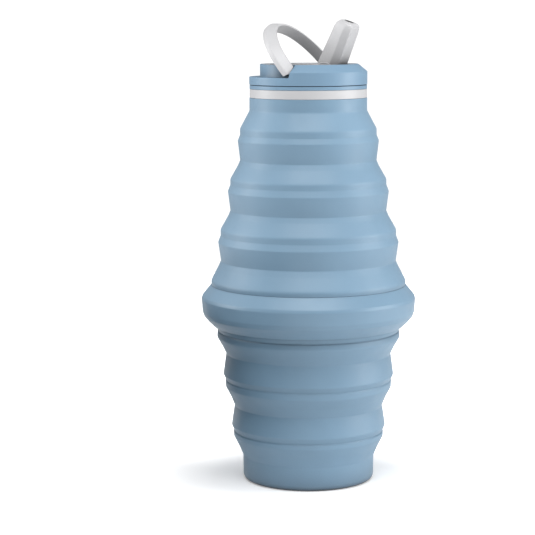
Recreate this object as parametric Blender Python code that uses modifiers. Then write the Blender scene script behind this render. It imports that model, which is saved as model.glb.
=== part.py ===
"""Folding silicone water bottle with a flip spout and a finger loop.

Metres, +Z up. The bottle stands on the origin, unfolded, with its spout and loop raised.
All the profile tables below are in millimetres: radius and height above the table.
"""

import math

import bmesh
import bpy
from mathutils import Matrix, Vector

MM = 0.001
NAME = "folding_water_bottle"

# Driving dimensions, in millimetres.
STEPS = 40  # facets round the bottle
GAP = 0.3  # between neighbouring pieces
WEB_WALL = 1.3
WAIST_BORE = 44.2
LOW_WAIST_BORE = 42.1
MOUTH_R = 22.9  # bore of the neck ring
SPIGOT_R = 24.5
THREAD_LEAD = 6.0
THREAD_CREST = 25.4
LID_CREST = 24.95
LID_BORE = 25.8
SHELL_R = 28.35
DRUM_R = 23.5
DECK_R = 22.4
DECK_TOP = 202.3
WELL_FLOOR = 190.4
LEDGE_Z = 196.4
HINGE_X, HINGE_Z = 10.6, 197.1  # spout hinge, along Y
SPOUT_OPEN = 111.0  # degrees from folded
BARREL_R = 6.3
SPOUT_HALF_WIDTH = 6.25
LOOP_X, LOOP_Z = 1.0, 199.4  # finger loop pivot
LOOP_OPEN = 50.4
NOTCH_LEAN = 14.3  # degrees from upright, of the notch's end wall
NOTCH_REACH = 1.758  # from the loop's pivot to that wall

SILICONE = (0.205, 0.352, 0.492)
BLUE = (0.212, 0.365, 0.510)
GREY = (0.660, 0.660, 0.672)
SEAL = (0.720, 0.740, 0.750)


def clear_scene():
    for obj in list(bpy.data.objects):
        bpy.data.objects.remove(obj, do_unlink=True)
    for group in list(bpy.data.collections):
        bpy.data.collections.remove(group)


def make_collection(name):
    group = bpy.data.collections.new(name)
    bpy.context.scene.collection.children.link(group)
    return group


def finish(obj, colour, roughness):
    """Give the object a material of its own."""
    material = bpy.data.materials.new(obj.name + "_finish")
    material.use_nodes = True
    shader = material.node_tree.nodes["Principled BSDF"]
    shader.inputs["Base Color"].default_value = (*colour, 1.0)
    shader.inputs["Roughness"].default_value = roughness
    shader.inputs["Metallic"].default_value = 0.0
    material.diffuse_color = (*colour, 1.0)
    obj.data.materials.clear()
    obj.data.materials.append(material)


def smooth(obj, angle=35.0):
    """Round pieces are shaded smooth, with crisp corners."""
    for face in obj.data.polygons:
        face.use_smooth = True
    limit = math.radians(angle)
    bm = bmesh.new()
    bm.from_mesh(obj.data)
    for edge in bm.edges:
        edge.smooth = len(edge.link_faces) == 2 and edge.calc_face_angle(0.0) < limit
    bm.to_mesh(obj.data)
    bm.free()


def lathe(name, profile, group, steps=STEPS):
    """A turned piece: the profile runs down its outer side, then back up its inner side."""
    mesh = bpy.data.meshes.new(name)
    points = [(r * MM, 0.0, z * MM) for r, z in profile]
    count = len(points)
    on_axis = profile[0][0] == 0.0 and profile[-1][0] == 0.0
    edges = [(i, i + 1) for i in range(count - 1)]
    if not on_axis:
        edges.append((count - 1, 0))
    mesh.from_pydata(points, edges, [])
    obj = bpy.data.objects.new(name, mesh)
    group.objects.link(obj)
    screw = obj.modifiers.new("Turn", "SCREW")
    screw.axis = "Z"
    screw.angle = math.radians(360.0)
    screw.steps = steps
    screw.render_steps = steps
    screw.use_merge_vertices = True
    screw.merge_threshold = 0.00001
    screw.use_smooth_shade = True
    return obj


def new_solid(name, bm, group):
    """An object from a bmesh, with its normals outward."""
    bmesh.ops.remove_doubles(bm, verts=bm.verts, dist=0.000005)
    bmesh.ops.recalc_face_normals(bm, faces=bm.faces)
    mesh = bpy.data.meshes.new(name)
    bm.to_mesh(mesh)
    bm.free()
    obj = bpy.data.objects.new(name, mesh)
    group.objects.link(obj)
    return obj


def spun_section(section, angle=360.0, steps=STEPS, start=0.0, lift=0.0):
    """A closed section in mm, carried round Z by an angle and up by a lift."""
    bm = bmesh.new()
    verts = [bm.verts.new((r * MM, 0.0, z * MM)) for r, z in section]
    face = bm.faces.new(verts)
    bmesh.ops.rotate(bm, verts=bm.verts, matrix=Matrix.Rotation(math.radians(start), 3, "Z"))
    full = abs(angle - 360.0) < 0.001
    if full:
        bmesh.ops.delete(bm, geom=[face], context="FACES_ONLY")
        moving = list(bm.edges) + list(bm.verts)
    else:
        bmesh.ops.duplicate(bm, geom=[face])
        moving = [face] + list(face.edges) + list(face.verts)
    bmesh.ops.spin(
        bm,
        geom=moving,
        cent=(0.0, 0.0, 0.0),
        axis=(0.0, 0.0, 1.0),
        dvec=(0.0, 0.0, lift * MM / steps),
        angle=math.radians(angle),
        steps=steps,
        use_duplicate=False,
    )
    bmesh.ops.remove_doubles(bm, verts=bm.verts, dist=0.000005)
    return bm


def cut_half(bm, point, normal):
    """Keep the side of a plane that the normal points away from, and close the cut."""
    geometry = list(bm.verts) + list(bm.edges) + list(bm.faces)
    result = bmesh.ops.bisect_plane(
        bm,
        geom=geometry,
        dist=0.0000001,
        plane_co=Vector(point) * MM,
        plane_no=Vector(normal),
        clear_outer=True,
    )
    edges = [e for e in result["geom_cut"] if isinstance(e, bmesh.types.BMEdge)]
    bmesh.ops.edgenet_fill(bm, edges=edges)


def cylinder(name, radius, start, end, group, segments=20):
    """A solid cylinder between two points in mm."""
    a, b = Vector(start) * MM, Vector(end) * MM
    bm = bmesh.new()
    bmesh.ops.create_cone(
        bm,
        cap_ends=True,
        segments=segments,
        radius1=radius * MM,
        radius2=radius * MM,
        depth=(b - a).length,
    )
    turn = (b - a).to_track_quat("Z", "Y").to_matrix().to_4x4()
    bmesh.ops.transform(bm, matrix=Matrix.Translation((a + b) / 2) @ turn, verts=bm.verts)
    return new_solid(name, bm, group)


def prism(name, outline, low, high, group):
    """An upright prism on a plan outline in mm."""
    bm = bmesh.new()
    floor = bm.faces.new([bm.verts.new((x * MM, y * MM, low * MM)) for x, y in outline])
    grown = bmesh.ops.extrude_face_region(bm, geom=[floor])["geom"]
    top = [v for v in grown if isinstance(v, bmesh.types.BMVert)]
    bmesh.ops.translate(bm, verts=top, vec=(0.0, 0.0, (high - low) * MM))
    return new_solid(name, bm, group)


def combine(obj, other, operation):
    """A Boolean with a hidden operand."""
    modifier = obj.modifiers.new(other.name, "BOOLEAN")
    modifier.operation = operation
    modifier.solver = "EXACT"
    modifier.object = other
    other.hide_render = True
    other.display_type = "WIRE"


# ---------------------------------------------------------------- silicone body


def moulded_ring(name, outer, group, bore):
    """A thick ring of the body. Its outline is held back by half a gap at each end."""
    top, foot = outer[0], outer[-1]
    side = [(top[0], top[1] - GAP / 2)] + outer[1:-1] + [(foot[0], foot[1] + GAP / 2)]
    obj = lathe(name, side + [(bore, side[-1][1]), (bore, side[0][1])], group)
    finish(obj, SILICONE, 0.62)
    return obj


def folding_web(name, top, foot, group):
    """A thin cone between two rings, which turns inside out when the bottle folds."""
    high, low = top[1] - GAP / 2, foot[1] + GAP / 2
    span = top[1] - foot[1]

    def radius(z):
        return foot[0] + (top[0] - foot[0]) * (z - foot[1]) / span

    points = [
        (radius(high), high),
        (radius(low), low),
        (radius(low) - WEB_WALL, low),
        (radius(high) - WEB_WALL, high),
    ]
    obj = lathe(name, points, group)
    finish(obj, SILICONE, 0.62)
    return obj


def base_cup(group):
    bore = [(0.0, 3.0), (28.4, 3.0), (29.6, 4.2), (29.6, 11.65)]
    profile = [
        (32.0, 11.65),
        (32.1, 9.5),
        (32.1, 2.0),
        (31.5, 0.6),
        (30.1, 0.0),
        (0.0, 0.0),
    ]
    obj = lathe("base_cup", [*bore, *profile], group)
    finish(obj, SILICONE, 0.62)


def silicone_body(group):
    base_cup(group)
    folding_web("web_lower_3", (36.4, 21.3), (32.0, 11.8), group)
    ring_l2 = [(36.0, 36.7), (36.3, 34.0), (37.4, 26.9), (36.3, 24.3), (36.4, 21.3)]
    moulded_ring("ring_lower_2", ring_l2, group, 33.8)
    folding_web("web_lower_2", (40.4, 45.9), (36.0, 36.7), group)
    ring_l1 = [(40.1, 62.3), (40.3, 59.5), (41.5, 52.0), (40.4, 49.6), (40.4, 45.9)]
    moulded_ring("ring_lower_1", ring_l1, group, 38.1)
    folding_web("web_lower_1", (44.5, 70.3), (40.1, 62.3), group)
    waist_ring(group)
    waist_band(group)
    folding_web("web_upper_4", (42.4, 107.6), (47.3, 98.15), group)
    ring_u3 = [(42.5, 122.8), (42.5, 119.85), (43.7, 116.7), (42.4, 107.6)]
    moulded_ring("ring_upper_3", ring_u3, group, 40.1)
    folding_web("web_upper_3", (37.7, 132.0), (42.5, 122.8), group)
    ring_u2 = [(37.7, 147.3), (37.7, 144.5), (38.9, 141.35), (37.7, 132.0)]
    moulded_ring("ring_upper_2", ring_u2, group, 35.4)
    folding_web("web_upper_2", (32.9, 156.3), (37.7, 147.3), group)
    ring_u1 = [(32.9, 171.5), (32.9, 168.45), (34.0, 165.8), (32.9, 156.3)]
    moulded_ring("ring_upper_1", ring_u1, group, 30.6)
    folding_web("web_upper_1", (28.3, 180.15), (32.9, 171.5), group)
    neck_collar(group)


def waist_ring(group):
    profile = [
        (47.3, 98.0),
        (47.3, 96.0),
        (46.2, 95.4),
        (46.2, 77.8),
        (44.2, 73.6),
        (44.5, 72.8),
        (44.5, 70.45),
        (LOW_WAIST_BORE, 70.45),
        (LOW_WAIST_BORE, 74.0),
        (WAIST_BORE, 80.0),
        (WAIST_BORE, 98.0),
    ]
    finish(lathe("waist_ring", profile, group), SILICONE, 0.62)


def waist_band(group):
    profile = [
        (47.0, 95.5),
        (47.9, 95.3),
        (49.7, 93.5),
        (51.5, 91.0),
        (51.94, 89.4),
        (51.6, 83.2),
        (50.9, 80.8),
        (49.0, 78.5),
        (46.3, 76.0),
        (45.7, 76.0),
        (46.5, 77.9),
        (46.5, 95.1),
    ]
    finish(lathe("waist_band", profile, group), SILICONE, 0.58)


def neck_collar(group):
    profile = [
        (28.3, 186.5),
        (28.3, 180.3),
        (24.3, 180.3),
        (24.3, 181.2),
        (25.9, 181.2),
        (25.9, 186.5),
    ]
    finish(lathe("neck_collar", profile, group), SILICONE, 0.62)


# ---------------------------------------------------------------- neck and lid


def thread(name, root, crest, low, start, group, half=0.5, angle=120.0, steps=10):
    """One start of the thread, as a ridge on a helix."""
    section = [(root, low - half), (crest, low - half * 0.4), (crest, low + half * 0.4)]
    section.append((root, low + half))
    bm = spun_section(section, angle, steps, start, THREAD_LEAD * angle / 360.0)
    return new_solid(name, bm, group)


def neck_ring(group, cutters):
    """The rigid neck: a skirt held in the silicone, a flange that shows, and the threaded spigot."""
    profile = [
        (SPIGOT_R, 194.2),
        (SPIGOT_R, 190.4),
        (28.1, 190.4),
        (28.1, 186.8),
        (25.6, 186.8),
        (25.6, 181.5),
        (MOUTH_R, 181.5),
        (MOUTH_R, 194.2),
    ]
    obj = lathe("neck_ring", profile, group)
    for k in (0, 1):
        ridge = thread(f"neck_thread_{k}", SPIGOT_R - 0.5, THREAD_CREST, 191.5, 180.0 * k, cutters)
        combine(obj, ridge, "UNION")
    finish(obj, GREY, 0.42)


def lid_base(group, cutters):
    """The threaded inner part of the lid, with the thin flange that shows under the groove."""
    profile = [
        (26.6, 194.9),
        (26.6, 192.0),
        (28.2, 191.95),
        (28.2, 190.7),
        (LID_BORE, 190.7),
        (LID_BORE, 194.9),
    ]
    obj = lathe("lid_base", profile, group)
    for k in (0, 1):
        start = 180.0 * k + 60.0
        ridge = thread(f"lid_thread_{k}", LID_BORE + 0.4, LID_CREST, 191.5 - 0.5, start, cutters, half=0.45)
        combine(obj, ridge, "UNION")
    finish(obj, BLUE, 0.45)


def lid_gasket(group):
    profile = [(25.5, 195.0), (25.5, 194.4), (23.0, 194.4), (23.0, 195.0)]
    finish(lathe("lid_gasket", profile, group), SEAL, 0.6)


def notch_plane():
    """A point on the notch's end wall and its direction, in the plane across the loop's pivot."""
    lean = math.radians(NOTCH_LEAN)
    normal = Vector((math.cos(lean), 0.0, -math.sin(lean)))
    pivot = Vector((LOOP_X, 0.0, LOOP_Z))
    return pivot + normal * NOTCH_REACH, normal


def lid_shell(group, cutters):
    """The blue outer part: skirt, ledge for the loop, and the drum round the deck."""
    profile = [
        (24.6, 202.4),
        (SHELL_R, 198.9),
        (SHELL_R, 192.4),
        (26.9, 192.4),
        (26.9, 195.3),
        (22.7, 195.3),
        (22.7, 202.4),
    ]
    obj = lathe("lid_shell", profile, group)
    bm = spun_section([(DRUM_R, 206.0), (32.0, 206.0), (32.0, LEDGE_Z), (DRUM_R, LEDGE_Z)])
    point, normal = notch_plane()
    cut_half(bm, point, normal)
    combine(obj, new_solid("notch", bm, cutters), "DIFFERENCE")
    for side, sign in (("front", -1), ("back", 1)):
        ends = (LOOP_X, sign * 21.0, LOOP_Z), (LOOP_X, sign * 25.0, LOOP_Z)
        hole = cylinder(f"loop_hole_{side}", 1.3, *ends, cutters, 14)
        combine(obj, hole, "DIFFERENCE")
    finish(obj, BLUE, 0.45)


def well_outline(grow=0.0):
    """Plan of the spout's well: a round finger well with a slot that runs to the hinge."""
    centre, radius = -6.0, 12.6 + grow
    half, end = 6.75 + grow, 19.5 + grow
    meet = math.asin(half / radius)
    count = 26
    points = []
    for i in range(count + 1):
        angle = meet + (2 * math.pi - 2 * meet) * i / count
        points.append((centre + radius * math.cos(angle), radius * math.sin(angle)))
    corner = 2.4
    for i in range(4):
        angle = -math.pi / 2 + math.pi / 2 * i / 3
        x = end - corner + corner * math.cos(angle)
        points.append((x, -half + corner + corner * math.sin(angle)))
    for i in range(4):
        angle = math.pi / 2 * i / 3
        x = end - corner + corner * math.cos(angle)
        points.append((x, half - corner + corner * math.sin(angle)))
    return points


def lid_deck(group, cutters):
    """The grey deck that fills the drum, hollow underneath, with the spout's well in it."""
    profile = [
        (0.0, 200.8),
        (21.0, 200.8),
        (21.0, 189.2),
        (DECK_R, 189.2),
        (DECK_R, DECK_TOP),
        (0.0, DECK_TOP),
    ]
    obj = lathe("lid_deck", list(reversed(profile)), group)
    tub = prism("deck_tub", well_outline(1.3), 189.2, 201.6, cutters)
    combine(obj, tub, "UNION")
    well = prism("deck_well", well_outline(), WELL_FLOOR, 206.0, cutters)
    combine(obj, well, "DIFFERENCE")
    drain = cylinder("deck_inlet", 4.6, (HINGE_X, 0, 188.0), (HINGE_X, 0, 192.0), cutters)
    combine(obj, drain, "DIFFERENCE")
    vent = cylinder("deck_vent", 1.5, (-9.0, 0, 188.0), (-9.0, 0, 192.0), cutters, 12)
    combine(obj, vent, "DIFFERENCE")
    ends = (HINGE_X, -9.0, HINGE_Z), (HINGE_X, 9.0, HINGE_Z)
    combine(obj, cylinder("deck_pivot", 1.9, *ends, cutters, 16), "DIFFERENCE")
    finish(obj, GREY, 0.42)


def spout_seal(group):
    profile = [
        (4.3, 190.5),
        (4.3, 188.9),
        (5.6, 188.9),
        (5.6, 188.0),
        (2.5, 188.0),
        (2.5, 190.5),
    ]
    obj = lathe("spout_seal", profile, group, 20)
    obj.location.x = HINGE_X * MM
    finish(obj, SEAL, 0.6)


def vent_valve(group):
    profile = [
        (0.0, 191.4),
        (2.4, 191.2),
        (2.6, 190.7),
        (1.2, 190.7),
        (1.2, 188.9),
        (1.9, 188.9),
        (1.0, 187.6),
        (0.0, 187.6),
    ]
    obj = lathe("vent_valve", profile, group, 16)
    obj.location.x = -9.0 * MM
    finish(obj, SEAL, 0.6)


def spout_arm(cutters):
    """The arm along -X, folded: a hull section that tapers to a rounded tip."""
    stations = [
        (0.0, 5.15, -6.3, 6.2),
        (-8.0, 5.15, -6.0, 6.2),
        (-17.0, 5.15, -5.1, 6.2),
        (-23.4, 5.15, -4.65, 6.1),
        (-25.6, 5.0, -4.0, 5.7),
        (-26.9, 4.5, -3.0, 5.0),
        (-27.45, 3.5, -2.0, 3.9),
    ]
    bm = bmesh.new()
    rings = []
    for x, top, foot, half in stations:
        tall = top - foot
        shape = [
            (-0.58 * half, foot),
            (0.58 * half, foot),
            (half, foot + 0.62 * tall),
            (0.9 * half, top),
            (-0.9 * half, top),
            (-half, foot + 0.62 * tall),
        ]
        rings.append([bm.verts.new((x * MM, y * MM, z * MM)) for y, z in shape])
    for a, b in zip(rings, rings[1:]):
        for i in range(len(a)):
            j = (i + 1) % len(a)
            bm.faces.new((a[i], a[j], b[j], b[i]))
    bm.faces.new(rings[0])
    bm.faces.new(rings[-1])
    return new_solid("spout_arm", bm, cutters)


def spout(group, cutters):
    """The flip spout, made folded about its hinge, then turned up."""
    bm = bmesh.new()
    bmesh.ops.create_cone(
        bm,
        cap_ends=True,
        segments=28,
        radius1=BARREL_R * MM,
        radius2=BARREL_R * MM,
        depth=2 * SPOUT_HALF_WIDTH * MM,
    )
    turn = Matrix.Rotation(math.radians(90.0), 4, "X")
    bmesh.ops.transform(bm, matrix=turn, verts=bm.verts)
    cut_half(bm, (0.0, 0.0, 5.05), (0.0, 0.0, 1.0))
    obj = new_solid("spout", bm, group)
    open_angle = math.radians(SPOUT_OPEN)
    place = Matrix.Translation((HINGE_X * MM, 0.0, HINGE_Z * MM))
    place = place @ Matrix.Rotation(open_angle, 4, "Y")
    obj.matrix_world = place
    arm = spout_arm(cutters)
    pins = cylinder("spout_pins", 1.6, (0, -7.7, 0), (0, 7.7, 0), cutters, 16)
    bore = cylinder("spout_bore", 2.2, (-30.0, 0, 0.9), (0.4, 0, -0.2), cutters, 14)
    down = Vector((math.sin(open_angle), 0.0, -math.cos(open_angle)))
    inlet = cylinder("spout_inlet", 2.2, (0, 0, 0), tuple(down * 8.0), cutters, 14)
    for other, operation in (
        (arm, "UNION"),
        (pins, "UNION"),
        (bore, "DIFFERENCE"),
        (inlet, "DIFFERENCE"),
    ):
        other.matrix_world = place
        combine(obj, other, operation)
    finish(obj, GREY, 0.42)


def finger_loop(group, cutters):
    """The half-ring loop, made folded on its ledge about its pivot, then raised."""
    low, high = LEDGE_Z + GAP - LOOP_Z, 202.3 - LOOP_Z
    bend = 198.9 - LOOP_Z
    section = [(24.2, high), (25.4, high), (28.3, bend), (28.3, low), (24.2, low)]
    bm = spun_section(section, steps=STEPS)
    bmesh.ops.translate(bm, verts=bm.verts, vec=(-LOOP_X * MM, 0.0, 0.0))
    reach = NOTCH_REACH - GAP
    for lean in (NOTCH_LEAN, NOTCH_LEAN - LOOP_OPEN):
        angle = math.radians(lean)
        normal = Vector((math.cos(angle), 0.0, -math.sin(angle)))
        cut_half(bm, normal * reach, normal)
    obj = new_solid("finger_loop", bm, group)
    place = Matrix.Translation((LOOP_X * MM, 0.0, LOOP_Z * MM))
    place = place @ Matrix.Rotation(math.radians(LOOP_OPEN), 4, "Y")
    obj.matrix_world = place
    for side, sign in (("front", -1), ("back", 1)):
        ends = (0.0, sign * 22.9, 0.0), (0.0, sign * 25.0, 0.0)
        stub = cylinder(f"loop_stub_{side}", 1.0, *ends, cutters, 12)
        stub.matrix_world = place
        combine(obj, stub, "UNION")
    finish(obj, GREY, 0.42)


def build():
    clear_scene()
    group = make_collection(NAME)
    cutters = make_collection("cutters")
    cutters.hide_render = True
    silicone_body(group)
    neck_ring(group, cutters)
    lid_gasket(group)
    lid_base(group, cutters)
    lid_shell(group, cutters)
    lid_deck(group, cutters)
    spout_seal(group)
    vent_valve(group)
    spout(group, cutters)
    finger_loop(group, cutters)
    for name in ("spout", "finger_loop"):
        smooth(group.objects[name])


build()
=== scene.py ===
import math
from collections import namedtuple

import bmesh
import bpy
import numpy as np
from mathutils import Matrix, Vector


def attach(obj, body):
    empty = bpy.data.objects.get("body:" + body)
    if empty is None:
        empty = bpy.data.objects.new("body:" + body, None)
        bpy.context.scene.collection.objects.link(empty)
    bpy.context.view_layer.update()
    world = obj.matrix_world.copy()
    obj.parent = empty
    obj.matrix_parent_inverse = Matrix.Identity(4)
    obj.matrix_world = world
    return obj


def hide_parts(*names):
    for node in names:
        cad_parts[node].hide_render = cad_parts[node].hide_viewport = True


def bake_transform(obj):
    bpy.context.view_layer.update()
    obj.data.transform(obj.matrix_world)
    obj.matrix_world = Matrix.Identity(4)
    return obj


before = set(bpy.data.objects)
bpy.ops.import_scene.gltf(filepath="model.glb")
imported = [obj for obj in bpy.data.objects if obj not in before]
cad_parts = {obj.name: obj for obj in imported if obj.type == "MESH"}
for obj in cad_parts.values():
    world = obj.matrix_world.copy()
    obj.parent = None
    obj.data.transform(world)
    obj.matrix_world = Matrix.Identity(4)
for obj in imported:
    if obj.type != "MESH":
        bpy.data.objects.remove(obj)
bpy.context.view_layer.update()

MM = 0.001
STEPS = 144  # facets round the body
SMOOTH_BELOW = 38.0  # degrees; sharper edges stay crisp

# The camera: 0.9 m away, looking a little down, and turned so that the bottle stands right of the
# centre. Lens and sensor in mm, distances in metres, angles in degrees.
LENS, SENSOR = 125.53, 36.0
CAM_AZIMUTH, CAM_PITCH, CAM_YAW = 23.3, 7.623, 1.26364
CAM_DISTANCE, CAM_HEIGHT = 0.8996, 0.2243

# The stage, in metres. The camera sees the first glow of each pair, and the bottle is lit by the other.
FLOOR_RADIUS = 0.75
FLOOR_SEEN, FLOOR_LIGHT = 0.25, 0.12
WORLD_SEEN, WORLD_LIGHT = 1.1, 0.335
FLOOR_SEEN_FAR = 0.8  # away from the bottle, past its shadow
FLOOR_FADE = 0.045, 0.095  # how far from the middle the floor's near glow ends and its far glow starts
LIGHT_AIM = 0.11  # the height that every lamp points at

# Linear colours.
SILICONE_TONE = (0.185, 0.304, 0.418)
BLUE_TONE = (0.187, 0.309, 0.432)
GREY_TONE = (0.550, 0.550, 0.563)
SEAL_TONE = (0.72, 0.74, 0.75)

# The body's outer side from the neck to the table: radius, height and corner radius, in mm.
UPPER = [
    (28.30, 186.60, 0.0),
    (28.30, 180.15, 2.4),
    (32.90, 171.50, 2.6),
    (32.90, 168.45, 0.8),
    (34.00, 165.80, 1.0),
    (32.90, 156.30, 0.9),
    (34.05, 153.60, 6.0),
    (37.68, 147.30, 2.8),
    (37.70, 144.50, 0.8),
    (38.90, 141.35, 1.0),
    (37.70, 132.00, 0.9),
    (38.75, 129.45, 6.0),
    (42.52, 122.80, 2.8),
    (42.50, 119.85, 0.8),
    (43.70, 116.70, 1.0),
    (42.40, 107.60, 0.9),
    (43.70, 104.70, 6.0),
    (47.20, 98.10, 3.2),
    (47.05, 95.90, 0.0),
]
LOWER = [
    (43.90, 73.50, 0.0),
    (44.30, 72.85, 0.3),
    (44.50, 70.50, 2.0),
    (42.00, 66.20, 5.0),
    (40.10, 62.30, 1.0),
    (41.50, 52.00, 1.0),
    (40.22, 49.30, 0.3),
    (40.55, 48.60, 0.4),
    (40.45, 45.90, 1.4),
    (37.95, 41.20, 5.0),
    (36.10, 36.60, 1.0),
    (37.55, 26.80, 1.0),
    (36.25, 24.00, 0.3),
    (36.65, 23.30, 0.4),
    (36.60, 21.40, 1.4),
    (34.02, 16.40, 5.0),
    (32.05, 11.80, 1.2),
    (31.88, 0.00, 5.2),
    (25.60, 0.00, 0.2),
    (25.20, 0.35, 0.2),
    (0.00, 0.35, 0.0),
]
BAND = [
    (46.50, 95.95, 0.2),
    (47.20, 95.95, 0.4),
    (49.55, 93.10, 1.2),
    (51.50, 90.70, 1.4),
    (51.94, 89.30, 1.6),
    (51.50, 83.20, 2.0),
    (50.80, 81.00, 1.2),
    (48.55, 78.45, 1.4),
    (46.00, 76.00, 0.3),
    (45.75, 75.95, 0.1),
    (46.50, 77.90, 0.2),
]

# Each web: its node, the bodies at its lower and upper end, how far one travels towards the other,
# where the web starts and ends on the profile, and its corners at the wide and the narrow ring as
# radius and height.
Web = namedtuple("Web", "node lower_body upper_body travel high low wide narrow")
WEBS = [
    Web("web_upper_1", "upper_1", "neck", 17.64, 182.0, 170.0, (32.90, 171.50), (28.30, 180.15)),
    Web("web_upper_2", "upper_2", "upper_1", 21.84, 159.0, 146.0, (37.68, 147.30), (32.90, 156.30)),
    Web("web_upper_3", "upper_3", "upper_2", 21.84, 134.7, 121.3, (42.52, 122.80), (37.70, 132.00)),
    Web("web_upper_4", "waist", "upper_3", 21.0, 110.3, 97.3, (47.36, 98.15), (42.40, 107.60)),
    Web("web_lower_1", "lower_1", "waist", 20.475, 71.6, 61.0, (44.50, 70.50), (40.10, 62.30)),
    Web("web_lower_2", "lower_2", "lower_1", 21.45, 47.7, 35.0, (40.45, 45.90), (36.10, 36.60)),
    Web("web_lower_3", "base", "lower_2", 19.5, 22.8, 10.6, (36.60, 21.40), (32.05, 11.80)),
]
# Each thick ring: its node and body, the part of the profile it shows, and the radius of its bore.
Ring = namedtuple("Ring", "node body high low bore")
RINGS = [
    Ring("ring_upper_1", "upper_1", 170.0, 159.0, 30.6),
    Ring("ring_upper_2", "upper_2", 146.0, 134.7, 35.4),
    Ring("ring_upper_3", "upper_3", 121.3, 110.3, 40.1),
    Ring("ring_lower_1", "lower_1", 61.0, 47.7, 38.1),
    Ring("ring_lower_2", "lower_2", 35.0, 22.8, 33.8),
]
WALL, WEB_WALL_SHARE = 1.15, 0.2  # a web's wall beside its rings, in mm, and the share left between them
WEB_DROP = 1.8  # how far the web's inner face is shifted along the axis
CROWN = 1.7  # the width of the round crown that a folded web makes
WAIST_Z = 90.0  # between the two profiles

# The neck and the lid, in mm.
COLLAR_R, COLLAR_TOP, COLLAR_LOW, COLLAR_BORE = 28.3, 186.35, 182.0, 25.9
MOUTH_R = 22.9
HINGE_X, HINGE_Z = 10.6, 197.1
SPOUT_OPEN = 111.0
LOOP_X, LOOP_Z = 1.0, 199.4
LOOP_OPEN = 50.4
NOTCH_LEAN, NOTCH_REACH = 14.3, 1.758  # the notch walls' slope, and their distance from the loop's pivot
LEDGE_Z = 196.4
DRUM_R, RIM_Z, DECK_TOP = 23.2, 202.4, 202.3
CHAMFER_Z = 198.9  # where the lid's sloping shoulder ends, and the loop's
VENT_X = -9.0
THREAD_LEAD = 6.0


# ---------------------------------------------------------------- mesh helpers


def rounded(corners, spacing=1.2):
    """A polyline with its corners rounded, from (r, z, corner radius), with long runs cut up."""
    points = [Vector(c[:2]) for c in corners]
    out = [points[0]]
    for i in range(1, len(points) - 1):
        here, radius = points[i], corners[i][2]
        back, ahead = points[i - 1] - here, points[i + 1] - here
        turn = math.pi - back.angle(ahead)
        if radius <= 0.0 or turn < 0.02:
            out.append(here)
            continue
        reach = min(radius * math.tan(turn / 2), 0.45 * back.length, 0.45 * ahead.length)
        start, end = here + back.normalized() * reach, here + ahead.normalized() * reach
        count = max(2, math.ceil(math.degrees(turn) / 9.0))
        out += [corner_point(start, here, end, k / count) for k in range(count + 1)]
    out.append(points[-1])
    fine = [out[0]]
    for a, b in zip(out, out[1:]):
        parts = max(1, math.ceil((b - a).length / spacing))
        fine += [a.lerp(b, k / parts) for k in range(1, parts + 1)]
    return [(p.x, p.y) for p in fine]


def between(line, high, low):
    """The part of a falling (r, z) line from one height to another, both ends exact."""

    def at(z):
        for (r0, z0), (r1, z1) in zip(line, line[1:]):
            if z1 <= z <= z0 and z0 > z1:
                return r0 + (r1 - r0) * (z0 - z) / (z0 - z1), z
        return line[-1][0], z

    inside = [p for p in line if low + 0.02 < p[1] < high - 0.02]
    return [at(high)] + inside + [at(low)]


def finish_mesh(name, bm, material, angle=SMOOTH_BELOW):
    """A shown piece: outward normals, smooth faces with crisp corners, and its material."""
    bmesh.ops.recalc_face_normals(bm, faces=bm.faces)
    mesh = bpy.data.meshes.new(name)
    bm.to_mesh(mesh)
    bm.free()
    obj = linked(name, mesh)
    settle(obj, material, angle)
    return obj


def linked(name, data):
    """A new object in the scene."""
    obj = bpy.data.objects.new(name, data)
    bpy.context.scene.collection.objects.link(obj)
    return obj


def settle(obj, material, angle=SMOOTH_BELOW):
    """Smooth faces, crisp corners, the rest position that the noise reads, and one material."""
    mesh = obj.data
    mesh.polygons.foreach_set("use_smooth", [True] * len(mesh.polygons))
    mesh.set_sharp_from_angle(angle=math.radians(angle))
    co = np.empty(len(mesh.vertices) * 3, np.float32)
    mesh.vertices.foreach_get("co", co)
    rest = mesh.attributes.get("rest") or mesh.attributes.new("rest", "FLOAT_VECTOR", "POINT")
    rest.data.foreach_set("vector", co)
    mesh.materials.clear()
    mesh.materials.append(material)


def turned(section, azimuths=None, steps=STEPS, weights=None):
    """A bmesh turned from a section in mm: a closed loop, or a line whose two ends are on the axis."""
    if azimuths is None:
        azimuths = [360.0 * k / steps for k in range(steps)]
    on_axis = section[0][0] < 1e-6 and section[-1][0] < 1e-6
    bm = bmesh.new()
    layer = bm.verts.layers.float.new("share") if weights is not None else None
    rings = []
    for a in azimuths:
        c, s = math.cos(math.radians(a)), math.sin(math.radians(a))
        ring = []
        for j, (r, z) in enumerate(section):
            if r < 1e-6 and rings:
                ring.append(rings[0][j])
                continue
            v = bm.verts.new((r * c * MM, r * s * MM, z * MM))
            if layer is not None:
                v[layer] = weights[j]
            ring.append(v)
        rings.append(ring)
    count = len(section)
    spans = count - 1 if on_axis else count
    for ring, following in zip(rings, rings[1:] + rings[:1]):
        for j in range(spans):
            k = (j + 1) % count
            corners = []
            for v in (ring[j], ring[k], following[k], following[j]):
                if v not in corners:
                    corners.append(v)
            if len(corners) > 2:
                bm.faces.new(corners)
    return bm


def mesh_object(name, bm):
    """A plain working object, such as a cutter."""
    bmesh.ops.recalc_face_normals(bm, faces=bm.faces)
    mesh = bpy.data.meshes.new(name)
    bm.to_mesh(mesh)
    bm.free()
    return linked(name, mesh)


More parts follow.
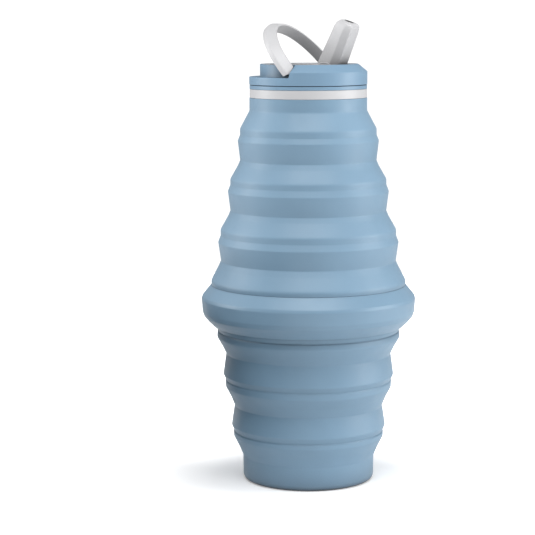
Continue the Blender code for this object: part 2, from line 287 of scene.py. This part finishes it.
def softened(points, reach_of, count):
    """The inner corners of a line of points, each replaced by a curve of count steps."""
    out = [points[0]]
    for i in range(1, len(points) - 1):
        here = points[i]
        back, ahead = points[i - 1] - here, points[i + 1] - here
        reach = min(reach_of[i], 0.4 * back.length, 0.4 * ahead.length)
        start, end = here + back.normalized() * reach, here + ahead.normalized() * reach
        out += [corner_point(start, here, end, k / count) for k in range(count + 1)]
    out.append(points[-1])
    return out


def corner_point(start, corner, end, t):
    """A point on the curve from start to end that leans towards the corner."""
    return start * (1 - t) ** 2 + corner * 2 * t * (1 - t) + end * t * t


def carve(obj, others, bevel=0.0, angle=32.0, segments=2):
    """Booleans in order, then a bevel on what is left sharp, all applied."""
    for other, operation in others:
        modifier = obj.modifiers.new(other.name, "BOOLEAN")
        modifier.operation = operation
        modifier.solver = "EXACT"
        modifier.object = other
    if bevel > 0.0:
        weld = obj.modifiers.new("weld", "WELD")
        weld.merge_threshold = 0.02 * MM
        edge = obj.modifiers.new("edges", "BEVEL")
        edge.width = bevel * MM
        edge.segments = segments
        edge.limit_method = "ANGLE"
        edge.angle_limit = math.radians(angle)
        edge.use_clamp_overlap = False
        edge.miter_outer = "MITER_ARC"
    graph = bpy.context.evaluated_depsgraph_get()
    graph.update()
    mesh = bpy.data.meshes.new_from_object(obj.evaluated_get(graph))
    obj.modifiers.clear()
    old = obj.data
    obj.data = mesh
    bpy.data.meshes.remove(old)
    for other, _ in others:
        data = other.data
        bpy.data.objects.remove(other)
        bpy.data.meshes.remove(data)


def rod(name, radius, start, end, segments=40):
    """A cylinder between two points in mm, as a working object."""
    a, b = Vector(start) * MM, Vector(end) * MM
    bm = bmesh.new()
    bmesh.ops.create_cone(
        bm,
        cap_ends=True,
        segments=segments,
        radius1=radius * MM,
        radius2=radius * MM,
        depth=(b - a).length,
    )
    turn = (b - a).to_track_quat("Z", "Y").to_matrix().to_4x4()
    bmesh.ops.transform(bm, matrix=Matrix.Translation((a + b) / 2) @ turn, verts=bm.verts)
    return mesh_object(name, bm)


def swept(sections):
    """A bmesh through rings of points with the same count, closed at both ends."""
    bm = bmesh.new()
    rings = [[bm.verts.new(Vector(p) * MM) for p in ring] for ring in sections]
    count = len(rings[0])
    for a, b in zip(rings, rings[1:]):
        for i in range(count):
            j = (i + 1) % count
            bm.faces.new((a[i], a[j], b[j], b[i]))
    bm.faces.new(rings[0])
    bm.faces.new(rings[-1])
    return bm


# ---------------------------------------------------------------- materials


def moulded(name, tone, roughness, grain, mottled, sheen=0.0, fine=2600.0, reach=0.012, depth=0.8):
    """Moulded rubber or plastic: a faint cloudy tone, uneven gloss and the mould's fine grain.
    Painted shade: faces that look into a hollow within `reach` metres get a darker base colour, by the
    power `depth`."""
    material = bpy.data.materials.new(name)
    material.use_nodes = True
    tree = material.node_tree
    nodes, links = tree.nodes, tree.links
    shader = nodes["Principled BSDF"]
    shader.inputs["Metallic"].default_value = 0.0
    shader.inputs["Specular IOR Level"].default_value = 0.5
    shader.inputs["Sheen Weight"].default_value = sheen
    shader.inputs["Sheen Roughness"].default_value = 0.5
    place = nodes.new("ShaderNodeAttribute")
    place.attribute_name = "rest"
    place.attribute_type = "GEOMETRY"

    def noise(scale, detail):
        node = nodes.new("ShaderNodeTexNoise")
        node.inputs["Scale"].default_value = scale
        node.inputs["Detail"].default_value = detail
        node.inputs["Roughness"].default_value = 0.55
        links.new(place.outputs["Vector"], node.inputs["Vector"])
        return node

    cloud = noise(32.0, 3.0)
    ramp = nodes.new("ShaderNodeValToRGB")
    ramp.color_ramp.elements[0].position = 0.3
    ramp.color_ramp.elements[1].position = 0.7
    ramp.color_ramp.elements[0].color = (*[c * (1 - mottled) for c in tone], 1.0)
    ramp.color_ramp.elements[1].color = (*[c * (1 + mottled) for c in tone], 1.0)
    links.new(cloud.outputs["Fac"], ramp.inputs["Fac"])
    # painted shade: ambient occlusion darkens the base colour in hollows and between parts
    hollow_painted_shade = nodes.new("ShaderNodeAmbientOcclusion")
    hollow_painted_shade.samples = 8
    hollow_painted_shade.inputs["Distance"].default_value = reach
    painted_shade_share = nodes.new("ShaderNodeMath")
    painted_shade_share.operation = "POWER"
    painted_shade_share.inputs[1].default_value = depth
    links.new(hollow_painted_shade.outputs["AO"], painted_shade_share.inputs[0])
    colour_with_painted_shade = nodes.new("ShaderNodeVectorMath")
    colour_with_painted_shade.operation = "SCALE"
    links.new(ramp.outputs["Color"], colour_with_painted_shade.inputs[0])
    links.new(painted_shade_share.outputs["Value"], colour_with_painted_shade.inputs["Scale"])
    links.new(colour_with_painted_shade.outputs["Vector"], shader.inputs["Base Color"])

    patches = noise(140.0, 2.0)
    gloss = nodes.new("ShaderNodeMapRange")
    gloss.inputs["From Min"].default_value = 0.3
    gloss.inputs["From Max"].default_value = 0.7
    gloss.inputs["To Min"].default_value = roughness - 0.05
    gloss.inputs["To Max"].default_value = roughness + 0.05
    links.new(patches.outputs["Fac"], gloss.inputs["Value"])
    links.new(gloss.outputs["Result"], shader.inputs["Roughness"])

    texture = noise(fine, 2.0)
    waves = noise(95.0, 1.0)
    total = nodes.new("ShaderNodeMath")
    total.operation = "MULTIPLY_ADD"
    total.inputs[1].default_value = 1.6
    links.new(waves.outputs["Fac"], total.inputs[0])
    links.new(texture.outputs["Fac"], total.inputs[2])
    bump = nodes.new("ShaderNodeBump")
    bump.inputs["Strength"].default_value = grain
    bump.inputs["Distance"].default_value = 0.1 * MM
    links.new(total.outputs["Value"], bump.inputs["Height"])
    links.new(bump.outputs["Normal"], shader.inputs["Normal"])
    return material


# each of these materials carries the painted shade in hollows
SILICONE = moulded("silicone_matte", SILICONE_TONE, 0.46, 0.35, 0.035, sheen=0.06)
BAND_SILICONE = moulded("silicone_band", SILICONE_TONE, 0.42, 0.30, 0.035, sheen=0.06)
BLUE = moulded("plastic_blue_satin", BLUE_TONE, 0.42, 0.22, 0.02, fine=3400.0)
# the grey parts get a wider, deeper painted shade, which darkens the loop's inner face and the lid's well
GREY = moulded(
    "plastic_grey_satin", GREY_TONE, 0.40, 0.22, 0.02, fine=3400.0, reach=0.025, depth=0.9
)
SEAL = moulded("silicone_seal", SEAL_TONE, 0.50, 0.20, 0.03, fine=3000.0)


# ---------------------------------------------------------------- silicone body


def fold_share(u, width, rise, travel):
    """How far a point of the web, u in from the wide ring, follows the narrow ring.
    Folded, the web makes a round crown by the wide ring and then drops to the narrow ring's foot."""
    slope = rise / width
    if u <= 0.0:
        return 0.0
    if u >= width:
        return 1.0
    if u < CROWN:
        folded = slope * u * (1 - u / CROWN)
    else:
        t = (u - CROWN) / (width - CROWN)
        ease = 1 - t
        start = -slope * (width - CROWN)
        folded = (rise - travel) * (1 - ease**2) + start * t * ease * ease
        folded = min(folded, start * t * 0.5)
    return min(1.0, max(0.0, (slope * u - folded) / travel))


def web_piece(web, line):
    """One web, from the profile's outer line and an inner face that leaves the web thinner."""
    (wide_r, wide_z), (narrow_r, narrow_z) = web.wide, web.narrow
    width, rise = wide_r - narrow_r, abs(narrow_z - wide_z)
    up = 1.0 if narrow_z > wide_z else -1.0  # which way the body narrows
    outer = between(line, web.high, web.low)
    shares, inner = [], []
    for r, z in outer:
        if up * z >= up * narrow_z:
            share = 1.0
        elif up * z <= up * wide_z:
            share = 0.0
        else:
            share = fold_share(wide_r - r, width, rise, web.travel)
        shares.append(share if up > 0 else 1.0 - share)
        # 0 beside the rings and 1 on the web
        height = min(1.0, max(0.0, (z - min(wide_z, narrow_z)) / rise))
        thin = min(1.0, 4.0 * height * (1.0 - height) * 1.6)
        wall = WALL * (1.0 - (1.0 - WEB_WALL_SHARE) * thin)
        inner.append((r - wall, z - up * WEB_DROP * thin))
    bm = turned(outer + inner[::-1], weights=shares + shares[::-1])
    obj = finish_mesh(web.node + "_skin", bm, SILICONE)
    values = np.empty(len(obj.data.vertices), np.float32)
    obj.data.attributes["share"].data.foreach_get("value", values)
    obj.data.attributes.remove(obj.data.attributes["share"])
    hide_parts(web.node)
    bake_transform(obj)


def place(obj, body, slot, *nodes):
    """A finished piece rides on its body and stands for CAD nodes, which it hides. Its slot is not used.
    """
    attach(obj, body)
    if nodes:
        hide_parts(*nodes)


def silicone_body():
    upper, lower = rounded(UPPER), rounded(LOWER)
    for web in WEBS:
        web_piece(web, upper if web.high > WAIST_Z else lower)
    for ring in RINGS:
        outer = between(upper if ring.high > WAIST_Z else lower, ring.high, ring.low)
        body_piece(ring.node, outer + [(ring.bore, ring.low), (ring.bore, ring.high)], ring.body)
    neck_collar(upper)
    waist(upper, lower)
    base_cup(lower)


def body_piece(node, section, body):
    """A turned silicone piece that rides on one body."""
    obj = finish_mesh(node + "_skin", turned(section), SILICONE)
    place(obj, body, "silicone_blue", node)


def neck_collar(line):
    edge = 0.12  # the small slope round the collar's top
    outer = between(line, COLLAR_TOP, COLLAR_LOW)
    outer[:1] = [(COLLAR_R - edge, COLLAR_TOP), (COLLAR_R, COLLAR_TOP - edge)]
    inner = [(COLLAR_BORE, COLLAR_LOW), (COLLAR_BORE, COLLAR_TOP)]
    body_piece("neck_collar", outer + inner, "neck")


def waist(upper, lower):
    """The silicone ring between the two halves, with a seat for the band, and the band round it."""
    top, foot = 97.3, 71.6
    seat = [(46.2, 95.4), (46.2, 77.8)]
    bore = [(42.1, foot), (42.1, 74.0), (44.2, 80.0), (44.2, top)]
    section = between(upper, top, 96.05) + seat + between(lower, 73.5, foot) + bore
    body_piece("waist_ring", section, "waist")
    hoop = rounded(BAND + [BAND[0]])[:-1]
    obj = finish_mesh("waist_band_hoop", turned(hoop), BAND_SILICONE)
    place(obj, "waist", "silicone_blue", "waist_band")


def base_cup(line):
    """The foot: its inside from the middle outwards, then the outer side down to the table and back."""
    top, recess = 10.6, 0.36
    side = between(line, top, recess)
    foot = [p for p in line if p[1] <= recess and p[0] < side[-1][0]]
    inside = rounded([(0.0, 3.0, 0.0), (29.6, 3.0, 1.6), (29.6, top, 0.0)], 3.0)
    body_piece("base_cup", inside + side + foot, "base")


# ---------------------------------------------------------------- neck and lid


def helix(name, root, crest, low, start, angle=120.0, half=0.5, steps=48):
    """A thread ridge from its root radius to its crest radius, lower at its two ends."""
    sections = []
    run_in = 1 / 9  # the share of its length over which the ridge rises
    for k in range(steps + 1):
        t = k / steps
        a = math.radians(start + angle * t)
        fade = min(1.0, t / run_in, (1 - t) / run_in)
        top = root + (crest - root) * (0.25 + 0.75 * math.sin(fade * math.pi / 2))
        z = low + THREAD_LEAD * angle / 360.0 * t
        ring = [(root, z - half), (top, z - half * 0.45), (top, z + half * 0.45), (root, z + half)]
        sections.append([(r * math.cos(a), r * math.sin(a), h) for r, h in ring])
    return mesh_object(name, swept(sections))


def neck_ring():
    section = rounded(
        [
            (MOUTH_R, 188.0, 0.0),
            (MOUTH_R, 194.2, 0.35),
            (24.5, 194.2, 0.35),
            (24.5, 190.55, 0.2),
            (28.15, 190.55, 0.12),
            (28.15, 186.4, 0.12),
            (25.6, 186.4, 0.1),
            (25.6, 181.5, 0.3),
            (MOUTH_R, 181.5, 0.3),
            (MOUTH_R, 188.0, 0.0),
        ],
        3.0,
    )[:-1]
    obj = mesh_object("neck_ring_turned", turned(section))
    threads = [helix(f"neck_thread_{k}", 24.2, 25.4, 191.5, 180.0 * k) for k in (0, 1)]
    carve(obj, [(thread, "UNION") for thread in threads])
    settle(obj, GREY)
    place(obj, "neck", "plastic_grey", "neck_ring")


def lid_base():
    section = rounded(
        [
            (25.8, 193.0, 0.0),
            (25.8, 194.9, 0.2),
            (26.6, 194.9, 0.2),
            (26.6, 192.45, 0.2),
            (28.2, 192.4, 0.15),
            (28.2, 190.62, 0.12),
            (25.8, 190.62, 0.1),
            (25.8, 193.0, 0.0),
        ],
        3.0,
    )[:-1]
    obj = mesh_object("lid_base_turned", turned(section))
    threads = [
        helix(f"lid_thread_{k}", 26.1, 24.95, 191.0, 180.0 * k + 60.0, half=0.45) for k in (0, 1)
    ]
    carve(obj, [(thread, "UNION") for thread in threads])
    settle(obj, BLUE)
    place(obj, "lid", "plastic_blue", "lid_base")


def lid_gasket():
    section = [(25.5, 194.7, 0.0), (25.5, 195.0, 0.2), (23.0, 195.0, 0.2)]
    section += [(23.0, 194.4, 0.2), (25.5, 194.4, 0.2), (25.5, 194.7, 0.0)]
    obj = finish_mesh("lid_gasket_ring", turned(rounded(section, 3.0)[:-1]), SEAL)
    place(obj, "gasket", "silicone_clear", "lid_gasket")


def spout_seal():
    section = [(2.5, 190.5), (4.1, 190.5), (4.3, 190.3), (4.3, 188.9), (5.4, 188.9), (5.6, 188.7)]
    section += [(5.6, 188.2), (5.4, 188.0), (2.7, 188.0), (2.5, 188.2)]
    bm = turned(section, steps=64)
    bmesh.ops.translate(bm, verts=bm.verts, vec=(HINGE_X * MM, 0, 0))
    obj = finish_mesh("spout_seal_ring", bm, SEAL)
    place(obj, "lid", "silicone_clear", "spout_seal")


def vent_valve():
    """A plug with a domed head, a stem through the deck and a wider foot below it."""
    section = [(0.0, 191.4, 0.0), (2.4, 191.2, 0.3), (2.6, 190.7, 0.1), (1.2, 190.7, 0.1)]
    section += [(1.2, 188.9, 0.1), (1.9, 188.9, 0.2), (1.0, 187.6, 0.3), (0.0, 187.6, 0.0)]
    bm = turned(rounded(section, 3.0), steps=48)
    bmesh.ops.translate(bm, verts=bm.verts, vec=(VENT_X * MM, 0, 0))
    obj = finish_mesh("vent_valve_plug", bm, SEAL)
    place(obj, "lid", "silicone_clear", "vent_valve")


def slanted_x(z, lean, reach):
    """Where a leaning wall is at a height above the loop's pivot, for its distance from the pivot."""
    a = math.radians(lean)
    return LOOP_X + (reach + z * math.sin(a)) / math.cos(a)


def notch_end(z):
    """Where the notch's two end walls are at a height."""
    return slanted_x(z - LOOP_Z, NOTCH_LEAN, NOTCH_REACH)


def loop_end(z):
    """Where the loop's ends are at a height above its pivot. Each end has two faces, a small gap from
    the notch's wall: one lies along it with the loop folded, the other with the loop raised."""
    folded = slanted_x(z, NOTCH_LEAN, NOTCH_REACH - 0.36)
    raised = slanted_x(z, NOTCH_LEAN - LOOP_OPEN, NOTCH_REACH - 0.2)
    return min(folded, raised)


def arc_between(outline, end_x, count):
    """Sections of a ring on the -X side, from one end to the other, for an outline in radius and height.
    end_x says where the ends are at a height."""
    sections = []
    for k in range(count + 1):
        ring = []
        for r, z in outline:
            end = math.degrees(math.acos(end_x(z) / r))
            a = math.radians(end + (360.0 - 2 * end) * k / count)
            ring.append((r * math.cos(a), r * math.sin(a), z))
        sections.append(ring)
    return sections


def lid_shell():
    inside, step = 22.7, 2.5
    corners = [
        (inside, 198.0, 0.0),
        (inside, RIM_Z, 0.0),
        (24.0, RIM_Z, 0.35),
        (28.35, CHAMFER_Z, 0.5),
        (28.35, 192.7, 0.15),
        (26.9, 192.7, 0.1),
        (26.9, 195.3, 0.1),
        (inside, 195.3, 0.1),
        (inside, 198.0, 0.0),
    ]
    section = rounded(corners, 4.0)[:-1]
    # no facet borders 87.5 degrees to either side of +X, where the notch's walls would graze them
    azimuths = [step * k for k in range(144) if abs(step * k - 180.0) != 92.5]
    obj = mesh_object("lid_shell_turned", turned(section, azimuths=azimuths))
    # the loop's notch: everything outside the drum on -X of the slanted walls
    out, above = 32.0, 206.0
    outline = [(DRUM_R, LEDGE_Z), (out, LEDGE_Z), (out, above), (DRUM_R, above)]
    notch = swept(arc_between(outline, notch_end, 90))
    work = [(mesh_object("notch", notch), "DIFFERENCE")]
    for side in (-1, 1):
        start, end = (LOOP_X, side * 21, LOOP_Z), (LOOP_X, side * 25, LOOP_Z)
        work.append((rod(f"pivot{side}", 1.3, start, end, 24), "DIFFERENCE"))
    carve(obj, work, bevel=0.18, angle=40.0)
    settle(obj, BLUE)
    place(obj, "lid", "plastic_blue", "lid_shell")


def well_outline(grow=0.0):
    """Plan of the spout's well: a round finger well and a slot to the hinge, with rounded far corners."""
    centre, radius = -6.0, 12.6 + grow
    half, end, corner = 6.75 + grow, 19.5 + grow, 2.4
    meet = math.asin(half / radius)
    points = []
    count = 72
    for i in range(count + 1):
        a = meet + (2 * math.pi - 2 * meet) * i / count
        points.append((centre + radius * math.cos(a), radius * math.sin(a)))
    for sign, start in ((-1, -math.pi / 2), (1, 0.0)):
        for i in range(9):
            a = start + math.pi / 2 * i / 8
            x = end - corner + corner * math.cos(a)
            points.append((x, sign * (half - corner) + corner * math.sin(a)))
    return points


def prism(name, outline, low, high):
    """An upright block with this plan, as a working object."""
    return mesh_object(name, swept([[(x, y, z) for x, y in outline] for z in (low, high)]))


def lid_deck():
    """A skirted disc with the spout's tub under it, the well cut into it, and its three holes."""
    top, foot, skirt = DECK_TOP, 189.2, 22.4
    section = [(0.0, 200.8), (21.0, 200.8), (21.0, foot), (skirt, foot)]
    section += [(skirt, top - 0.25), (skirt - 0.07, top - 0.07), (skirt - 0.25, top), (0.0, top)]
    obj = mesh_object("lid_deck_moulding", turned(section, steps=96))
    under, over = 188.0, 192.0  # either side of the well's floor
    work = [
        (prism("tub", well_outline(1.3), foot, 201.6), "UNION"),
        (prism("well", well_outline(), 190.4, 206.0), "DIFFERENCE"),
        (rod("inlet", 4.6, (HINGE_X, 0, under), (HINGE_X, 0, over)), "DIFFERENCE"),
        (rod("vent", 1.5, (VENT_X, 0, under), (VENT_X, 0, over), 24), "DIFFERENCE"),
        (rod("pivot", 1.9, (HINGE_X, -9.0, HINGE_Z), (HINGE_X, 9.0, HINGE_Z), 32), "DIFFERENCE"),
    ]
    carve(obj, work, bevel=0.3, angle=50.0, segments=3)
    settle(obj, GREY)
    place(obj, "lid", "plastic_grey", "lid_deck")


def hull(x, top, foot, half):
    """The spout's section at x, with rounded corners: a narrow underside, widest two thirds up."""
    widest = foot + 0.62 * (top - foot)
    outline = [(0.0, foot), (0.58 * half, foot), (half, widest), (0.9 * half, top), (0.0, top)]
    side = softened([Vector(p) for p in outline], (0.0, 0.8, 0.5, 0.8, 0.0), 5)
    right = [(x, p.x, p.y) for p in side]
    left = [(x, -p.x, p.y) for p in side[1:-1]]
    return right + left[::-1]


def spout():
    """Made lying along -X about its hinge, then turned up. Heights are above the hinge."""
    # along the arm, top, underside and half width
    stations = [
        (1.5, 5.15, -6.2, 6.2),
        (-6.0, 5.15, -6.2, 6.2),
        (-8.0, 5.15, -6.0, 6.2),
        (-17.0, 5.15, -5.1, 6.2),
        (-23.4, 5.15, -4.65, 6.1),
        (-25.2, 5.1, -4.2, 5.85),
        (-26.2, 4.9, -3.65, 5.5),
        (-26.9, 4.5, -3.05, 5.0),
        (-27.3, 4.0, -2.5, 4.4),
        (-27.45, 3.5, -2.05, 3.9),
    ]
    sections = []
    for a, b in zip(stations, stations[1:]):
        parts = max(1, round(abs(a[0] - b[0]) / 1.5))
        for k in range(parts):
            t = k / parts
            sections.append(hull(*[p + (q - p) * t for p, q in zip(a, b)]))
    sections.append(hull(*stations[-1]))
    obj = mesh_object("spout_arm", swept(sections))
    down = Vector((math.sin(math.radians(SPOUT_OPEN)), 0, -math.cos(math.radians(SPOUT_OPEN))))
    work = [
        (barrel(), "UNION"),
        (rod("pins", 1.6, (0, -7.7, 0), (0, 7.7, 0), 32), "UNION"),
        (rod("bore", 2.4, (-31, 0, 0.9), (0.4, 0, -0.2), 40), "DIFFERENCE"),
        (rod("inlet2", 2.2, (0, 0, 0), tuple(down * 8.0), 40), "DIFFERENCE"),
    ]
    carve(obj, work)
    turn = Matrix.Translation((HINGE_X * MM, 0, HINGE_Z * MM))
    turn = turn @ Matrix.Rotation(math.radians(SPOUT_OPEN), 4, "Y")
    obj.data.transform(turn)
    obj.name = "spout_body"
    settle(obj, GREY, 30.0)
    place(obj, "spout", "plastic_grey", "spout")


def barrel():
    """The spout's barrel along Y, with soft rims, cut flat on top."""
    radius, half, flat = 6.3, 6.25, 5.05
    rim = [(0.0, -half, 0.0), (radius, -half, 0.5), (radius, half, 0.5), (0.0, half, 0.0)]
    bm = turned(rounded(rim, 6.0), steps=96)
    bmesh.ops.rotate(bm, verts=bm.verts, matrix=Matrix.Rotation(math.radians(90), 3, "X"))
    cut = bmesh.ops.bisect_plane(
        bm,
        geom=list(bm.verts) + list(bm.edges) + list(bm.faces),
        dist=1e-7,
        plane_co=(0, 0, flat * MM),
        plane_no=(0, 0, 1),
        clear_outer=True,
    )
    edges = [e for e in cut["geom_cut"] if isinstance(e, bmesh.types.BMEdge)]
    bmesh.ops.edgenet_fill(bm, edges=edges)
    return mesh_object("barrel", bm)


def finger_loop():
    """The half ring, made lying on its ledge about its pivot, then raised, with its two pins."""
    low, high, bend = LEDGE_Z + 0.3 - LOOP_Z, DECK_TOP - LOOP_Z, CHAMFER_Z - LOOP_Z
    inside, outside = 24.2, 28.3
    tip = 0.53  # the height near which the two end faces meet
    outline = [
        (inside, low),
        (inside, tip),
        (inside, high),
        (25.4, high),
        (27.42, tip),
        (outside, bend),
        (outside, low),
    ]
    sections = []
    for ring in arc_between(outline, loop_end, 96):
        sections.append([(x - LOOP_X, y, z) for x, y, z in ring])
    obj = mesh_object("finger_loop_ring", swept(sections))
    carve(obj, [], bevel=0.22, angle=28.0, segments=3)
    for side, sign in (("front", -1), ("back", 1)):
        pin = rod(f"loop_pin_{side}", 1.0, (0, sign * 22.9, 0), (0, sign * 25.0, 0), 32)
        pin.data.transform(raise_loop())
        settle(pin, GREY)
        place(pin, "loop", "plastic_grey")
    obj.data.transform(raise_loop())
    settle(obj, GREY)
    place(obj, "loop", "plastic_grey", "finger_loop")


def raise_loop():
    """From the loop's own place, folded about its pivot, to its place on the lid, raised."""
    turn = Matrix.Translation((LOOP_X * MM, 0, LOOP_Z * MM))
    return turn @ Matrix.Rotation(math.radians(LOOP_OPEN), 4, "Y")


# ---------------------------------------------------------------- stage


def seen_or_lit(tree, lit, seen, output):
    """The camera sees one shader, and every other ray meets the other."""
    path = tree.nodes.new("ShaderNodeLightPath")
    mix = tree.nodes.new("ShaderNodeMixShader")
    tree.links.new(path.outputs["Is Camera Ray"], mix.inputs["Fac"])
    tree.links.new(lit, mix.inputs[1])
    tree.links.new(seen, mix.inputs[2])
    tree.links.new(mix.outputs["Shader"], tree.nodes[output].inputs["Surface"])


def floor_paper():
    """White paper. Its glow is weak near the middle, where the bottle's shadow shows, and hides the
    rest of the floor. The bottle is lit by a plainer paper with less glow."""
    paper = bpy.data.materials.new("floor_paper")
    paper.use_nodes = True
    tree = paper.node_tree
    seen = tree.nodes["Principled BSDF"]
    seen.inputs["Base Color"].default_value = (0.93, 0.93, 0.935, 1)
    seen.inputs["Roughness"].default_value = 0.85
    seen.inputs["Specular IOR Level"].default_value = 0.1
    seen.inputs["Emission Color"].default_value = (1, 1, 1, 1)
    where = tree.nodes.new("ShaderNodeNewGeometry")
    away = tree.nodes.new("ShaderNodeVectorMath")
    away.operation = "LENGTH"
    tree.links.new(where.outputs["Position"], away.inputs[0])
    fade = tree.nodes.new("ShaderNodeMapRange")
    fade.inputs["From Min"].default_value = FLOOR_FADE[0]
    fade.inputs["From Max"].default_value = FLOOR_FADE[1]
    fade.inputs["To Min"].default_value = FLOOR_SEEN
    fade.inputs["To Max"].default_value = FLOOR_SEEN_FAR
    tree.links.new(away.outputs["Value"], fade.inputs["Value"])
    tree.links.new(fade.outputs["Result"], seen.inputs["Emission Strength"])
    lit = tree.nodes.new("ShaderNodeBsdfPrincipled")
    lit.inputs["Base Color"].default_value = (0.9, 0.9, 0.9, 1)
    lit.inputs["Specular IOR Level"].default_value = 0.0
    lit.inputs["Emission Color"].default_value = (1, 1, 1, 1)
    lit.inputs["Emission Strength"].default_value = FLOOR_LIGHT
    seen_or_lit(tree, lit.outputs["BSDF"], seen.outputs["BSDF"], "Material Output")
    return paper


def floor():
    bm = bmesh.new()
    bmesh.ops.create_circle(bm, cap_ends=True, segments=96, radius=FLOOR_RADIUS)
    mesh = bpy.data.meshes.new("floor")
    bm.to_mesh(mesh)
    bm.free()
    mesh.materials.append(floor_paper())
    linked("floor", mesh)


def background():
    world = bpy.data.worlds.new("studio")
    bpy.context.scene.world = world
    world.use_nodes = True
    tree = world.node_tree
    lit = tree.nodes["Background"]
    seen = tree.nodes.new("ShaderNodeBackground")
    for node, strength in ((lit, WORLD_LIGHT), (seen, WORLD_SEEN)):
        node.inputs["Color"].default_value = (1, 1, 1, 1)
        node.inputs["Strength"].default_value = strength
    seen_or_lit(tree, lit.outputs["Background"], seen.outputs["Background"], "World Output")


def softbox(name, azimuth, elevation, distance, size, power):
    """A rectangular lamp that points at the bottle's middle, placed by angles in degrees."""
    a, e = math.radians(azimuth), math.radians(elevation)
    back = Vector((math.sin(a) * math.cos(e), -math.cos(a) * math.cos(e), math.sin(e)))
    data = bpy.data.lights.new(name, "AREA")
    data.shape = "RECTANGLE"
    data.size, data.size_y = size
    data.energy = power
    lamp = linked(name, data)
    lamp.location = Vector((0, 0, LIGHT_AIM)) + back * distance
    lamp.rotation_mode = "QUATERNION"
    lamp.rotation_quaternion = (-back).to_track_quat("-Z", "Y")


def dark_card(name, far, near, low, high):
    """An upright dark card at the bottle's left, which keeps light off its lower side and isn't seen.
    Its two ends are given as metres to the right of the bottle and towards the camera."""
    a = math.radians(CAM_AZIMUTH)
    right, toward = Vector((math.cos(a), math.sin(a), 0)), Vector((math.sin(a), -math.cos(a), 0))
    ends = [right * x + toward * y for x, y in (far, near)]
    foot, head = Vector((0, 0, low)), Vector((0, 0, high))
    bm = bmesh.new()
    corners = (ends[0] + foot, ends[1] + foot, ends[1] + head, ends[0] + head)
    bm.faces.new([bm.verts.new(p) for p in corners])
    mesh = bpy.data.meshes.new(name)
    bm.to_mesh(mesh)
    bm.free()
    card = linked(name, mesh)
    felt = bpy.data.materials.new(name + "_felt")
    felt.use_nodes = True
    shader = felt.node_tree.nodes["Principled BSDF"]
    shader.inputs["Base Color"].default_value = (0.05, 0.07, 0.09, 1)
    shader.inputs["Roughness"].default_value = 0.9
    mesh.materials.append(felt)
    card.visible_camera = False


def stage():
    floor()
    background()
    softbox("softbox_right", CAM_AZIMUTH + 84, 8, 1.1, (0.6, 0.9), 8.6)
    softbox("softbox_left", CAM_AZIMUTH - 94, 16, 1.1, (0.6, 0.9), 6.8)
    softbox("softbox_top", CAM_AZIMUTH + 4, 62, 1.2, (1.1, 0.9), 12.8)
    dark_card("flag_left", (-0.088, -0.030), (-0.054, 0.135), 0.008, 0.092)


def lean_of_axis(turn, eye):
    """How far from upright the bottle's axis looks through a camera with this rotation."""
    spots = []
    for z in (0.0, 0.2):
        q = turn.transposed() @ (Vector((0, 0, z)) - eye)
        spots.append((q.x / -q.z, q.y / -q.z))
    return math.atan2(spots[1][0] - spots[0][0], spots[1][1] - spots[0][1])


def camera():
    data = bpy.data.cameras.new("camera")
    data.lens = LENS
    data.sensor_width = SENSOR
    data.sensor_fit = "HORIZONTAL"
    data.clip_start = 0.01
    obj = linked("camera", data)
    a, p = math.radians(CAM_AZIMUTH), math.radians(CAM_PITCH)
    eye = Vector((CAM_DISTANCE * math.sin(a), -CAM_DISTANCE * math.cos(a), CAM_HEIGHT))
    heading = a + math.radians(CAM_YAW)
    ahead = Vector((-math.sin(heading) * math.cos(p), math.cos(heading) * math.cos(p), -math.sin(p)))
    level = ahead.to_track_quat("-Z", "Y").to_matrix()
    turn = level @ Matrix.Rotation(-lean_of_axis(level, eye), 3, "Z")
    obj.matrix_world = Matrix.Translation(eye) @ turn.to_4x4()
    bpy.context.scene.camera = obj


silicone_body()
neck_ring()
lid_base()
lid_gasket()
spout_seal()
vent_valve()
lid_shell()
lid_deck()
spout()
finger_loop()
stage()
camera()
bpy.context.scene.view_settings.view_transform = "Standard"
